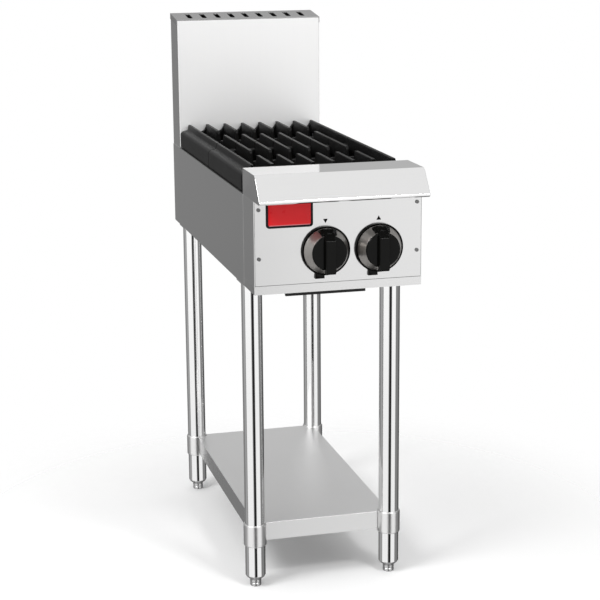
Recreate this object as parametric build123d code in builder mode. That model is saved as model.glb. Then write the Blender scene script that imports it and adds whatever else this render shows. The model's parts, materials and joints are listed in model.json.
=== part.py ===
"""Narrow two-burner gas boiling top on a leg stand with an undershelf.

Millimetres. X is across the unit, +Y runs from the operator's side to the wall and +Z is up.
The origin is on the floor, under the middle of the unit's overall size.
Distances behind the control panel's face are turned into Y by at_depth(), and heights above
the underside of the body into Z by at_height().
"""

import os
from math import cos, pi, sin

from build123d import *

os.makedirs("parts", exist_ok=True)

# ---------------------------------------------------------------- driving dimensions
half_width = 152.5          # half of the 305 mm module
panel_y = -350.0            # face of the control panel
body_depth = 745.0          # control panel face to the back of the unit
stand_height = 588.0        # floor to the underside of the body
sheet = 1.5                 # stainless sheet
side_height = 165.5         # top edge of the side panels
seam_depth = 80.0           # where the control box ends and the side panels begin
lip_height = 15.2           # bottom lip of the base
ledge_top = 212.0
ledge_under = 165.0
flue_front = 672.0
flue_top = 440.0            # back edge of the cap
flue_slope = 10.0           # how far the cap drops to its front edge

trivet_depth = 285.0
trivet_starts = (95.0, 382.0)
trivet_top = 214.0
trivet_shoulder = 201.5
fin_pitch = 37.5
fin_count = 8
fin_gap = 54.0              # opening over each burner
rim_top = 167.0             # surface the trivets stand on

burner_depths = (trivet_starts[0] + trivet_depth / 2, trivet_starts[1] + trivet_depth / 2)
knob_xs = (-24.0, 73.0)
knob_height = 72.5
knob_travel = 4.0

leg_x = 131.0
leg_depths = (115.0, 667.0)
leg_radius = 19.05
leg_wall = 1.6
shelf_top = -466.0
shelf_flange = 35.0
socket_radius = 21.5
socket_low, socket_high = -507.0, -464.0

tray_half = 72.5
tray_front, tray_back = 91.0, 636.0


# ---------------------------------------------------------------- helpers
def at_depth(distance):
    """Y of a point this far behind the control panel's face."""
    return panel_y + distance


def at_height(height):
    """Z of a point this far above the underside of the body."""
    return stand_height + height


def slab(x_range, depth_range, height_range, mode=Mode.ADD):
    """A square-cornered block given by its limits."""
    x0, x1 = x_range
    y0, y1 = (at_depth(d) for d in depth_range)
    z0, z1 = (at_height(h) for h in height_range)
    with Locations(((x0 + x1) / 2, (y0 + y1) / 2, (z0 + z1) / 2)):
        Box(x1 - x0, y1 - y0, z1 - z0, mode=mode)


def post(x, depth, height_range, radius, mode=Mode.ADD):
    """An upright round bar."""
    low, high = height_range
    with Locations((x, at_depth(depth), at_height((low + high) / 2))):
        Cylinder(radius, high - low, mode=mode)


def bar(x, height, depth_range, radius, mode=Mode.ADD):
    """A round bar running front to back."""
    near, far = depth_range
    with Locations(Location((x, at_depth((near + far) / 2), at_height(height)), (90, 0, 0))):
        Cylinder(radius, far - near, mode=mode)


def rail(x_range, depth, height, radius, mode=Mode.ADD):
    """A round bar running across the unit."""
    x0, x1 = x_range
    with Locations(Location(((x0 + x1) / 2, at_depth(depth), at_height(height)), (0, 90, 0))):
        Cylinder(radius, x1 - x0, mode=mode)


def side_profile(points, x_range, mode=Mode.ADD):
    """Pull an outline of (depth, height) points across the unit."""
    x0, x1 = x_range
    corners = [(at_depth(d), at_height(h)) for d, h in points]
    with BuildSketch(Plane.YZ.offset(x0)) as outline:
        with BuildLine():
            Polyline(*corners, close=True)
        make_face()
    extrude(outline.sketch, amount=x1 - x0, mode=mode)


def front_profile(points, depth_range, mode=Mode.ADD):
    """Pull an outline of (x, height) points from front to back."""
    near, far = depth_range
    corners = [(x, at_height(h)) for x, h in points]
    with BuildSketch(Plane.XZ.offset(-at_depth(near))) as outline:
        with BuildLine():
            Polyline(*corners, close=True)
        make_face()
    extrude(outline.sketch, amount=near - far, mode=mode)


def mirrored(side, x_range):
    """The same X range on the left (-1) or the right (1)."""
    return tuple(sorted(side * x for x in x_range))


# ---------------------------------------------------------------- body panels
def side_panel(side):
    """Flat side sheet from the control box to the back."""
    slab(mirrored(side, (half_width - sheet, half_width)), (seam_depth, body_depth),
         (0, side_height))


with BuildPart() as left_side_panel:
    side_panel(-1)
left_side_panel.part.label = "left_side_panel"

with BuildPart() as right_side_panel:
    side_panel(1)
right_side_panel.part.label = "right_side_panel"

with BuildPart() as back_panel:
    slab((-149.0, 149.0), (body_depth - sheet, body_depth), (sheet, flue_top - 3))
back_panel.part.label = "back_panel"

leg_bolt_spots = [
    (side * 106.0, depth + offset)
    for side in (-1, 1) for depth in leg_depths for offset in (-20.0, 20.0)
]

with BuildPart() as base_pan:
    slab((-151, 151), (sheet, body_depth - sheet), (0, sheet))
    slab((-half_width, half_width), (0, sheet), (0, lip_height))
    for side in (-1, 1):
        slab(mirrored(side, (149.5, 151)), (seam_depth, body_depth - sheet), (0, 20))
    slab((-62, 62), (110, 625), (-1, 3), Mode.SUBTRACT)
    post(100, 712, (-1, 3), 17, Mode.SUBTRACT)
    for x, depth in leg_bolt_spots:
        post(x, depth, (-1, 3), 4.3, Mode.SUBTRACT)
base_pan.part.label = "base_pan"

screw_spots = [(x, h) for x in (-143.5, 143.5) for h in (63.5, 150.0)]

with BuildPart() as control_panel:
    slab((-half_width, half_width), (0, sheet), (lip_height + 0.6, ledge_under))
    for side in (-1, 1):
        slab(mirrored(side, (half_width - sheet, half_width)), (sheet, seam_depth - 0.6),
             (0, ledge_under))
    for x in knob_xs:
        bar(x, knob_height, (-1, 3), 9.0, Mode.SUBTRACT)
    for x, h in screw_spots:
        bar(x, h, (-1, 3), 2.1, Mode.SUBTRACT)
control_panel.part.label = "control_panel"

ledge_outline = [
    (seam_depth, ledge_under), (seam_depth, ledge_top), (-8, ledge_top), (-12.5, 210.6),
    (-15.6, 207.2), (-44.0, 171.0), (-45.0, 168.2), (-43.4, 165.8), (-41, ledge_under),
]
ledge_hollow = [
    (seam_depth - 1.5, ledge_under - 1), (seam_depth - 1.5, ledge_top - 1.5), (-8, 210.5),
    (-11.4, 209.4), (-14.4, 206.2), (-42.2, 170.5), (-42.6, 168.4), (-41, 166.5),
    (1.5, 166.5), (1.5, ledge_under - 1),
]

with BuildPart() as front_ledge:
    side_profile(ledge_outline, (-half_width, half_width))
    side_profile(ledge_hollow, (-151, 151), Mode.SUBTRACT)
front_ledge.part.label = "front_ledge"

with BuildPart() as splashback:
    side_profile([(flue_front, side_height), (flue_front, flue_top - flue_slope - 2.0),
                  (body_depth, flue_top - 2.0), (body_depth, side_height)], (-151.5, 151.5))
    slab((-150.3, 150.3), (flue_front + 1.2, body_depth + 1), (side_height - 1, flue_top),
         Mode.SUBTRACT)
splashback.part.label = "splashback"

with BuildPart() as flue_cap:
    cap_front = flue_top - flue_slope
    side_profile([(flue_front, cap_front - 2.0), (flue_front, cap_front),
                  (body_depth, flue_top), (body_depth, flue_top - 2.0)],
                 (-half_width, half_width))
    for side in (-1, 1):
        side_profile([(flue_front, cap_front - 12), (flue_front, cap_front - 1),
                      (body_depth, flue_top - 1), (body_depth, flue_top - 12)],
                     mirrored(side, (151.6, half_width)))
    for number in range(9):
        x = (number - 4) * 30.0
        with BuildSketch(Plane.XY.offset(at_height(cap_front - 3))) as slot:
            with Locations((x, at_depth(708.5))):
                SlotOverall(44, 10, rotation=90)
        extrude(slot.sketch, amount=flue_slope + 5, mode=Mode.SUBTRACT)
flue_cap.part.label = "flue_cap"

# ---------------------------------------------------------------- hob surround
well_half = 139.0
well_floor = 138.0

with BuildPart() as hob_pan:
    slab((-half_width, half_width), (seam_depth, flue_front - 0.3), (side_height, rim_top))
    slab((-well_half - 1.2, well_half + 1.2), (98, 668), (well_floor, rim_top - 0.5))
    slab((-well_half, well_half), (99.2, 666.8), (well_floor + 1.2, rim_top + 1), Mode.SUBTRACT)
    for depth in burner_depths:
        post(0, depth, (well_floor - 1, well_floor + 3), 50, Mode.SUBTRACT)
        post(0, depth, (well_floor, well_floor + 7), 51.2)
        post(0, depth, (well_floor - 1, well_floor + 8), 50, Mode.SUBTRACT)
hob_pan.part.label = "hob_pan"

# ---------------------------------------------------------------- trivets
fin_xs = [(number - (fin_count - 1) / 2) * fin_pitch for number in range(fin_count)]
nose_round = 6.0


def fin(x, near, far, nose_at):
    """One tapered finger, rounded at the end that reaches over the burner."""
    section = [(x - 3, trivet_top), (x + 3, trivet_top), (x + 5.5, 188), (x - 5.5, 188)]
    front_profile(section, (near, far))
    inward = 1 if nose_at == far else -1
    rounding = [(nose_at + inward, trivet_top + 1)]
    for step in range(6):
        angle = pi / 2 * step / 5
        rounding.append((
            nose_at - inward * nose_round * (1 - sin(angle)),
            trivet_top - nose_round * (1 - cos(angle)),
        ))
    rounding.append((nose_at + inward, trivet_top - nose_round))
    side_profile(rounding, (x - 6, x + 6), Mode.SUBTRACT)


def scalloped_wall(near, far, peak):
    """End wall whose top edge rises to a peak at each finger and dips in between."""
    top = []
    for x in fin_xs:
        top += [(x - 14, 200), (x - 8, 200 + (peak - 200) * 0.3), (x - 3, peak), (x + 3, peak),
                (x + 8, 200 + (peak - 200) * 0.3), (x + 14, 200)]
    top = top[3:-3]
    front_profile([(fin_xs[0], 176)] + top + [(fin_xs[-1], 176)], (near, far))


def trivet(start, peaks):
    """Cast frame with side rails, end walls, ribs and fingers in one piece. The two trivets
    are one casting; the front one is turned round, so its tall wall faces the operator."""
    end = start + trivet_depth
    middle = (start + end) / 2
    side_section = [
        (151, 169), (151, trivet_shoulder - 9.5), (147.5, trivet_shoulder - 3),
        (141.5, trivet_shoulder), (135.5, trivet_shoulder + 1.5), (134.2, trivet_top - 1),
        (133, trivet_top), (128.2, trivet_top), (126, 190), (143, 184), (143, 169),
    ]
    for side in (-1, 1):
        front_profile([(side * x, h) for x, h in side_section], (start, end))
        for depth in (start + 12, end - 32):
            slab(mirrored(side, (143.5, 150.5)), (depth, depth + 20), (rim_top, 170))
    scalloped_wall(start, start + 8, peaks[0])
    scalloped_wall(end - 8, end, peaks[1])
    for offset in (-36, 36):
        slab((-140, 140), (middle + offset - 4, middle + offset + 4), (184, 193))
    for x in fin_xs[1:-1]:
        fin(x, start, middle - fin_gap / 2, middle - fin_gap / 2)
        fin(x, middle + fin_gap / 2, end, middle + fin_gap / 2)


with BuildPart() as front_trivet:
    trivet(trivet_starts[0], (212, 202))
front_trivet.part.label = "front_trivet"

with BuildPart() as rear_trivet:
    trivet(trivet_starts[1], (202, 212))
rear_trivet.part.label = "rear_trivet"

# ---------------------------------------------------------------- burners
mix_height = 118.0


def burner_body(x, depth):
    """Cup and mixing tube in one casting; the tube runs forward to its jet."""
    post(0, depth, (mix_height - 12, 160), 42)
    slab(tuple(sorted((0, x))), (depth - 14, depth + 14), (mix_height - 12, mix_height + 12))
    bar(x, mix_height, (103, depth + 10), 14)
    post(0, depth, (mix_height - 9, 161), 37, Mode.SUBTRACT)
    bar(x, mix_height, (102, depth), 11, Mode.SUBTRACT)
    slab(tuple(sorted((0, x))), (depth - 11, depth + 11), (mix_height - 9, mix_height + 9),
         Mode.SUBTRACT)


def burner_cap(depth):
    """Flat cap with a locating spigot and a ring of flame ports."""
    post(0, depth, (160, 171), 46)
    with Locations((0, at_depth(depth), at_height(173))):
        Cone(46, 38, 4)
    post(0, depth, (155, 161), 36.6)
    post(0, depth, (154, 166), 32, Mode.SUBTRACT)
    with Locations((0, at_depth(depth), at_height(162.5))):
        with PolarLocations(41, 28):
            Box(14, 2.4, 5.2, mode=Mode.SUBTRACT)


def pilot(depth):
    """Pilot tip and flame probe on a foot beside the burner."""
    post(-7, depth + 58, (well_floor + 1.2, 166), 3.5)
    post(7, depth + 58, (well_floor + 1.2, 170), 2.5)
    slab((-14, 14), (depth + 53, depth + 63), (well_floor + 1.2, well_floor + 4))


with BuildPart() as front_burner_body:
    burner_body(knob_xs[0], burner_depths[0])
front_burner_body.part.label = "front_burner_body"

with BuildPart() as rear_burner_body:
    burner_body(knob_xs[1], burner_depths[1])
rear_burner_body.part.label = "rear_burner_body"

with BuildPart() as front_burner_cap:
    burner_cap(burner_depths[0])
front_burner_cap.part.label = "front_burner_cap"

with BuildPart() as rear_burner_cap:
    burner_cap(burner_depths[1])
rear_burner_cap.part.label = "rear_burner_cap"

with BuildPart() as front_pilot:
    pilot(burner_depths[0])
front_pilot.part.label = "front_pilot"

with BuildPart() as rear_pilot:
    pilot(burner_depths[1])
rear_pilot.part.label = "rear_pilot"

with BuildPart() as burner_brackets:
    for depth in burner_depths:
        slab((-151, 151), (depth - 12, depth + 12), (mix_height - 15, mix_height - 12))
        for side in (-1, 1):
            slab(mirrored(side, (149, 151)), (depth - 12, depth + 12), (80, mix_height - 13))
    bar(knob_xs[1], mix_height, (200, 300), 14.3, Mode.SUBTRACT)
    bar(knob_xs[0], mix_height, (200, 300), 14.3, Mode.SUBTRACT)
    bar(knob_xs[1], mix_height, (480, 560), 14.3, Mode.SUBTRACT)
burner_brackets.part.label = "burner_brackets"

# ---------------------------------------------------------------- gas supply
manifold_depth = 62.0


def gas_valve(x):
    """Tap body screwed into the manifold, with a bore for its spindle."""
    slab((x - 14, x + 14), (10, 44), (knob_height - 16, knob_height + 16))
    bar(x, knob_height, (44, manifold_depth - 10.4), 7)
    bar(x, knob_height, (4, 10.5), 8)
    post(x, 30, (knob_height + 16, knob_height + 24), 6)
    bar(x, knob_height, (3, 28), 4.05, Mode.SUBTRACT)
    post(x, 30, (knob_height + 18, knob_height + 25), 4.1, Mode.SUBTRACT)


def supply_tube(x):
    """Small tube from the tap up and back to the jet."""
    with BuildLine() as run:
        FilletPolyline(
            (x, at_depth(30), at_height(knob_height + 18)),
            (x, at_depth(30), at_height(mix_height)),
            (x, at_depth(86), at_height(mix_height)),
            radius=14,
        )
    with BuildSketch(Plane(origin=run.line @ 0, z_dir=run.line % 0)) as ring:
        Circle(4)
        Circle(3, mode=Mode.SUBTRACT)
    sweep(sections=ring.sketch, path=run.line)


def jet(x):
    """Hexagonal brass jet in front of the mixing tube."""
    with BuildSketch(Plane.XZ.offset(-at_depth(86))) as hexagon:
        with Locations((x, at_height(mix_height))):
            RegularPolygon(7, 6)
    extrude(hexagon.sketch, amount=-9)
    bar(x, mix_height, (95, 101), 4)
    bar(x, mix_height, (85, 96), 3.0, Mode.SUBTRACT)
    bar(x, mix_height, (95, 102), 0.8, Mode.SUBTRACT)


def spindle(x):
    """Round tap spindle that the knob is pushed on to."""
    bar(x, knob_height, (-21.5, 20), 4)


with BuildPart() as front_valve:
    gas_valve(knob_xs[0])
front_valve.part.label = "front_valve"

with BuildPart() as rear_valve:
    gas_valve(knob_xs[1])
rear_valve.part.label = "rear_valve"

with BuildPart() as front_supply_tube:
    supply_tube(knob_xs[0])
front_supply_tube.part.label = "front_supply_tube"

with BuildPart() as rear_supply_tube:
    supply_tube(knob_xs[1])
rear_supply_tube.part.label = "rear_supply_tube"

with BuildPart() as front_jet:
    jet(knob_xs[0])
front_jet.part.label = "front_jet"

with BuildPart() as rear_jet:
    jet(knob_xs[1])
rear_jet.part.label = "rear_jet"

with BuildPart() as front_spindle:
    spindle(knob_xs[0])
front_spindle.part.label = "front_spindle"

with BuildPart() as rear_spindle:
    spindle(knob_xs[1])
rear_spindle.part.label = "rear_spindle"

with BuildPart() as manifold:
    rail((-60, 120), manifold_depth, knob_height, 10.4)
    rail((-57, 117), manifold_depth, knob_height, 8, Mode.SUBTRACT)
manifold.part.label = "manifold"

with BuildPart() as jet_bracket:
    slab((-50, 100), (85.8, 87.8), (mix_height - 12, mix_height + 12))
    slab((-50, 100), (80, 87), (mix_height + 10, mix_height + 12))
    for x in knob_xs:
        bar(x, mix_height, (80, 92), 8.3, Mode.SUBTRACT)
jet_bracket.part.label = "jet_bracket"

with BuildPart() as inlet_pipe:
    with BuildLine() as inlet_run:
        FilletPolyline(
            (100, at_depth(manifold_depth + 10.4), at_height(knob_height)),
            (100, at_depth(712), at_height(knob_height)),
            (100, at_depth(712), at_height(-24)),
            radius=22,
        )
    with BuildSketch(Plane(origin=inlet_run.line @ 0, z_dir=inlet_run.line % 0)):
        Circle(10.5)
        Circle(8, mode=Mode.SUBTRACT)
    sweep()
inlet_pipe.part.label = "inlet_pipe"

# ---------------------------------------------------------------- control knobs
bezel_radius = 43.6


def bezel(x):
    """Plastic ring round the knob with an index block at its lower left."""
    bar(x, knob_height, (-5.5, 0), bezel_radius)
    slab((x - 20, x - 3), (-5.5, 0), (knob_height - 49, knob_height - 36))
    bar(x, knob_height, (-6, -1), 42.2, Mode.SUBTRACT)
    bar(x, knob_height, (-6, 1), 9, Mode.SUBTRACT)


def cone(x, depth_range, radii, mode=Mode.ADD):
    """A cone on the knob's axis, first radius at the panel side."""
    far, near = depth_range
    with Locations(Location((x, at_depth((near + far) / 2), at_height(knob_height)), (90, 0, 0))):
        Cone(radii[0], radii[1], far - near, mode=mode)


def knob_skirt(x):
    """Thin conical metal skirt."""
    cone(x, (-5.5, -24), (41.0, 31.0))
    cone(x, (-5.4, -24.1), (39.7, 29.7), Mode.SUBTRACT)


def pointer_wings(x):
    """Wedge of a conical shell that spreads from the pointer end over the skirt."""
    reach = 20.0
    with BuildPart() as wings:
        cone(x, (-10, -24.05), (41.6, 34.0))
        cone(x, (-9.9, -24.2), (38.95, 31.2), Mode.SUBTRACT)
        with BuildSketch(Plane.XZ.offset(-at_depth(-5))) as wedge:
            with BuildLine():
                Polyline((x, at_height(knob_height)),
                         (x - reach, at_height(knob_height + 44)),
                         (x + reach, at_height(knob_height + 44)), close=True)
            make_face()
        extrude(wedge.sketch, amount=25, mode=Mode.INTERSECT)
    return wings.part


def knob_grip(x):
    """Plastic knob: hub, face disc and the raised grip with its pointer end."""
    bar(x, knob_height, (-28.5, -24.05), 31.2)
    bar(x, knob_height, (-25, -8), 9)
    outline = [
        (-28, -31), (-26, -36.5), (-34.5, -36.5), (-38, -33), (-38, 23), (-15.1, 40.4),
        (-8.2, 40.4), (-24.6, 32.3), (-28, 30),
    ]
    side_profile([(d, knob_height + r) for d, r in outline], (x - 9.2, x + 9.2))
    add(pointer_wings(x))
    bar(x, knob_height, (-22, -7), 4.05, Mode.SUBTRACT)


with BuildPart() as front_knob_bezel:
    bezel(knob_xs[0])
front_knob_bezel.part.label = "front_knob_bezel"

with BuildPart() as rear_knob_bezel:
    bezel(knob_xs[1])
rear_knob_bezel.part.label = "rear_knob_bezel"

with BuildPart() as front_knob_skirt:
    knob_skirt(knob_xs[0])
front_knob_skirt.part.label = "front_knob_skirt"

with BuildPart() as rear_knob_skirt:
    knob_skirt(knob_xs[1])
rear_knob_skirt.part.label = "rear_knob_skirt"

with BuildPart() as front_knob_grip:
    knob_grip(knob_xs[0])
front_knob_grip.part.label = "front_knob_grip"

with BuildPart() as rear_knob_grip:
    knob_grip(knob_xs[1])
rear_knob_grip.part.label = "rear_knob_grip"

# ---------------------------------------------------------------- front fittings
badge_x, badge_height = -88.5, 140.25


def badge_plate_shape(width, tall, near, far, corner, mode=Mode.ADD):
    """Rounded plate standing on the control panel."""
    with BuildSketch(Plane.XZ.offset(-at_depth(near))) as outline:
        with Locations((badge_x, at_height(badge_height))):
            RectangleRounded(width, tall, corner)
    extrude(outline.sketch, amount=near - far, mode=mode)


with BuildPart() as badge_frame:
    badge_plate_shape(84, 47.5, -2.4, 0, 6)
    badge_plate_shape(76.4, 39.9, -3, -0.8, 3.2, Mode.SUBTRACT)
badge_frame.part.label = "badge_frame"

with BuildPart() as badge_plate:
    badge_plate_shape(76.2, 39.7, -2.2, -0.8, 3.1)
badge_plate.part.label = "badge_plate"

with BuildPart() as burner_marks:
    for x, tip in zip(knob_xs, (-1, 1)):
        mark = [(x - 4.2, 125 - tip * 3.4), (x + 4.2, 125 - tip * 3.4), (x, 125 + tip * 4.2)]
        front_profile(mark, (-0.3, 0))
burner_marks.part.label = "burner_marks"

with BuildPart() as panel_screws:
    for x, h in screw_spots:
        bar(x, h, (-1.6, 0), 3.4)
        bar(x, h, (-0.2, 9), 1.9)
        slab((x - 2.2, x + 2.2), (-2, -1), (h - 0.4, h + 0.4), Mode.SUBTRACT)
        slab((x - 0.4, x + 0.4), (-2, -1), (h - 2.2, h + 2.2), Mode.SUBTRACT)
panel_screws.part.label = "panel_screws"

# ---------------------------------------------------------------- drip tray
with BuildPart() as drip_tray:
    slab((-tray_half, tray_half), (tray_front, tray_back), (-25.5, -6.5))
    slab((-tray_half + 1, tray_half - 1), (tray_front + 1, tray_back - 1), (-24.5, -5),
         Mode.SUBTRACT)
    for side in (-1, 1):
        slab(mirrored(side, (tray_half - 0.5, 79)), (tray_front + 6, tray_back), (-7.5, -6.5))
drip_tray.part.label = "drip_tray"

with BuildPart() as drip_tray_handle:
    slab((-75, 75), (85, tray_front), (-26, -4))
    slab((-60, 60), (86.5, tray_front - 1.5), (-27, -12), Mode.SUBTRACT)
drip_tray_handle.part.label = "drip_tray_handle"

with BuildPart() as drip_tray_runners:
    for side in (-1, 1):
        slab(mirrored(side, (79.6, 81.1)), (97, 642), (-9, 0))
        slab(mirrored(side, (74, 81.1)), (97, 642), (-9, -7.5))
        slab(mirrored(side, (79.6, 92)), (97, 642), (-1.5, 0))
        slab(mirrored(side, (66, 80)), (640.5, 642), (-9, 0))
drip_tray_runners.part.label = "drip_tray_runners"

# ---------------------------------------------------------------- stand
floor = -stand_height
leg_foot = floor + 22.0      # underside of the leg tubes


def leg(side, depth):
    """Tube with a welded top plate that bolts under the base."""
    x = side * leg_x
    post(x, depth, (leg_foot, -3), leg_radius)
    slab(mirrored(side, (96, 152)), (depth - 30, depth + 30), (-3, 0))
    post(x, depth, (leg_foot - 1, -3), leg_radius - leg_wall, Mode.SUBTRACT)
    for offset in (-20, 20):
        post(side * 106.0, depth + offset, (-4, 1), 4.3, Mode.SUBTRACT)


def socket(side, depth):
    """Collar that clamps the shelf's corner to the leg."""
    x = side * leg_x
    post(x, depth, (socket_low, socket_high), socket_radius)
    post(x, depth, (socket_low - 1, socket_high + 1), leg_radius + 0.05, Mode.SUBTRACT)


def foot(side, depth):
    """Levelling foot: threaded stem, shoulder and floor pad."""
    x = side * leg_x
    post(x, depth, (floor, floor + 14), 10.5)
    post(x, depth, (floor + 13, floor + 62), 5.9)


with BuildPart() as front_left_leg:
    leg(-1, leg_depths[0])
front_left_leg.part.label = "front_left_leg"

with BuildPart() as front_right_leg:
    leg(1, leg_depths[0])
front_right_leg.part.label = "front_right_leg"

with BuildPart() as back_left_leg:
    leg(-1, leg_depths[1])
back_left_leg.part.label = "back_left_leg"

with BuildPart() as back_right_leg:
    leg(1, leg_depths[1])
back_right_leg.part.label = "back_right_leg"

with BuildPart() as leg_end_inserts:
    for side in (-1, 1):
        for depth in leg_depths:
            post(side * leg_x, depth, (leg_foot, leg_foot + 30), leg_radius - leg_wall)
            with Locations((side * leg_x, at_depth(depth), at_height(leg_foot - 1.5))):
                Cone(17.3, leg_radius, 3.0)
            with Locations((side * leg_x, at_depth(depth), at_height(leg_foot - 5.3))):
                Cone(12.0, 17.3, 4.6)
            post(side * leg_x, depth, (leg_foot - 9, leg_foot + 31), 5.95, Mode.SUBTRACT)
leg_end_inserts.part.label = "leg_end_inserts"

with BuildPart() as front_left_foot:
    foot(-1, leg_depths[0])
front_left_foot.part.label = "front_left_foot"

with BuildPart() as front_right_foot:
    foot(1, leg_depths[0])
front_right_foot.part.label = "front_right_foot"

with BuildPart() as back_left_foot:
    foot(-1, leg_depths[1])
back_left_foot.part.label = "back_left_foot"

with BuildPart() as back_right_foot:
    foot(1, leg_depths[1])
back_right_foot.part.label = "back_right_foot"

with BuildPart() as undershelf:
    slab((-leg_x, leg_x), leg_depths, (shelf_top - shelf_flange, shelf_top))
    slab((-leg_x + 1.2, leg_x - 1.2), (leg_depths[0] + 1.2, leg_depths[1] - 1.2),
         (shelf_top - shelf_flange - 1, shelf_top - 1.2), Mode.SUBTRACT)
    for side in (-1, 1):
        for depth in leg_depths:
            post(side * leg_x, depth, (-520, -460), socket_radius + 0.1, Mode.SUBTRACT)
undershelf.part.label = "undershelf"

with BuildPart() as shelf_sockets:
    for side in (-1, 1):
        for depth in leg_depths:
            socket(side, depth)
shelf_sockets.part.label = "shelf_sockets"

with BuildPart() as leg_bolts:
    for x, depth in leg_bolt_spots:
        post(x, depth, (-8, -3), 6.5)
        post(x, depth, (-4, 8), 4.0)
        post(x, depth, (sheet, 7), 6.5)
leg_bolts.part.label = "leg_bolts"

# ---------------------------------------------------------------- files
pieces = [
    left_side_panel, right_side_panel, back_panel, base_pan, control_panel, front_ledge,
    splashback, flue_cap, hob_pan, front_trivet, rear_trivet, front_burner_body,
    rear_burner_body, front_burner_cap, rear_burner_cap, front_pilot, rear_pilot,
    burner_brackets, front_valve, rear_valve, front_supply_tube, rear_supply_tube, front_jet,
    rear_jet, front_spindle, rear_spindle, manifold, jet_bracket, inlet_pipe,
    front_knob_bezel, rear_knob_bezel, front_knob_skirt, rear_knob_skirt, front_knob_grip,
    rear_knob_grip, badge_frame, badge_plate,
    burner_marks, panel_screws, drip_tray, drip_tray_handle, drip_tray_runners,
    front_left_leg, front_right_leg, back_left_leg, back_right_leg, leg_end_inserts,
    front_left_foot, front_right_foot, back_left_foot, back_right_foot, undershelf,
    shelf_sockets, leg_bolts,
]
for piece in pieces:
    export_step(piece.part, f"parts/{piece.part.label}.step")
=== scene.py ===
# %% [markdown]
# # A narrow two-burner gas hob on a leg stand
# The CAD model fixes every size and every joint. This script gives that model its looks:
# folded stainless sheet, cast trivets, polished tube legs and glossy knobs. The frame is
# loaded first, because every later piece takes its place from it.

# %% Load the fixed frame
import json
from math import cos, pi, radians, sin

import bmesh
import bpy
import numpy as np
from mathutils import Matrix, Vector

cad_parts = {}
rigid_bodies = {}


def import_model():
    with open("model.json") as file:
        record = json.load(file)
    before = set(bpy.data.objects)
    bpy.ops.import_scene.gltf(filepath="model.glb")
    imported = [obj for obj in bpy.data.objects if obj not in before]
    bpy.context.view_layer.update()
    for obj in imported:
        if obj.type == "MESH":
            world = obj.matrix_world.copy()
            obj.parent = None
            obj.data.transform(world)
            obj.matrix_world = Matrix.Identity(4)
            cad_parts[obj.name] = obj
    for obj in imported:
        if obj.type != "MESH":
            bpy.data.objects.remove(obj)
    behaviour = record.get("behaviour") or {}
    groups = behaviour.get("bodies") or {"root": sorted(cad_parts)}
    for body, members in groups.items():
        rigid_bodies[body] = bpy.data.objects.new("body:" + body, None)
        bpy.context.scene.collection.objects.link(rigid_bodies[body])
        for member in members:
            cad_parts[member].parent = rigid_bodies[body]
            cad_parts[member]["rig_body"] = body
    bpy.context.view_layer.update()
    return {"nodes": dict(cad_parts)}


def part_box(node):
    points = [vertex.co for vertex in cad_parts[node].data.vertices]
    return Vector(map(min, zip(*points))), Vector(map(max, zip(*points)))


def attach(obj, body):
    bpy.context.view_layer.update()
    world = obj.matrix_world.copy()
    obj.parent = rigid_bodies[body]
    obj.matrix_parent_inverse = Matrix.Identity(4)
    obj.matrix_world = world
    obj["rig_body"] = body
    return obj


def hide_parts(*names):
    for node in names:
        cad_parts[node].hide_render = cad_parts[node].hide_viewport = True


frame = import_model()
nodes = frame["nodes"]
mm = 0.001
face_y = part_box("control_panel")[0].y
under_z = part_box("left_side_panel")[0].z
half_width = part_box("front_ledge")[1].x / mm
print("nodes", len(nodes), "panel face", round(face_y, 4), "body underside", round(under_z, 4))

# %% [markdown]
# ## The camera
# A long lens from well back keeps the tall stand's upright lines nearly parallel, and the
# camera looks down a little so that the trivets show. It could be aimed with a constraint,
# but a matrix built from its heading, tilt and roll is exact and keeps the file free of
# helpers. The columns of that matrix are the camera's right, up and backward directions.

# %% Place the camera
def aim(heading, tilt, roll):
    """Rotation with the camera's right, up and back directions as columns. Heading turns
    from +Y towards +X, tilt looks down and roll leans the camera sideways, all in degrees."""
    h, t, r = radians(heading), radians(tilt), radians(roll)
    forward = np.array([sin(h) * cos(t), cos(h) * cos(t), -sin(t)])
    right = np.array([cos(h), -sin(h), 0.0])
    down = np.cross(forward, right)
    right, down = cos(r) * right - sin(r) * down, sin(r) * right + cos(r) * down
    return Matrix(np.column_stack([right, -down, -forward]).tolist()).to_4x4()


focal_length, sensor_width, farthest = 98.82, 36.0, 50.0
stands_at = (-0.7825, -3.061, 1.247)
heading, tilt, roll = 14.71, 13.49, -0.43
lens = bpy.data.cameras.new("studio_camera")
lens.sensor_width = sensor_width
lens.lens = focal_length
lens.clip_end = farthest
camera = bpy.data.objects.new("studio_camera", lens)
bpy.context.scene.collection.objects.link(camera)
camera.matrix_world = Matrix.Translation(stands_at) @ aim(heading, tilt, roll)
bpy.context.scene.camera = camera
bpy.context.scene.view_settings.view_transform = "Standard"
print("camera at", [round(v, 3) for v in camera.location])

# %% [markdown]
# ## Writing shader sums as Python
# A shader pattern is a sum: a noise times a strength plus a base value. Wiring one Math
# node at a time hides that sum, so a small class wraps a socket and lets Python's own
# operators add the nodes. Another class holds one finish and adds any other node by name.

# %% Sockets that can be added and multiplied
class Wire:
    """One socket of a shader that takes part in sums and products."""

    def __init__(self, recipe, socket):
        self.recipe, self.socket = recipe, socket

    def math(self, operation, first, second):
        """The wire that a Math node gives for first and second."""
        node = self.recipe.add("ShaderNodeMath", {"operation": operation}, {0: first, 1: second})
        return Wire(self.recipe, node.outputs[0])

    def __add__(self, other): return self.math("ADD", self, other)
    def __radd__(self, other): return self.math("ADD", other, self)
    def __sub__(self, other): return self.math("SUBTRACT", self, other)
    def __rsub__(self, other): return self.math("SUBTRACT", other, self)
    def __mul__(self, other): return self.math("MULTIPLY", self, other)
    def __rmul__(self, other): return self.math("MULTIPLY", other, self)


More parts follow.
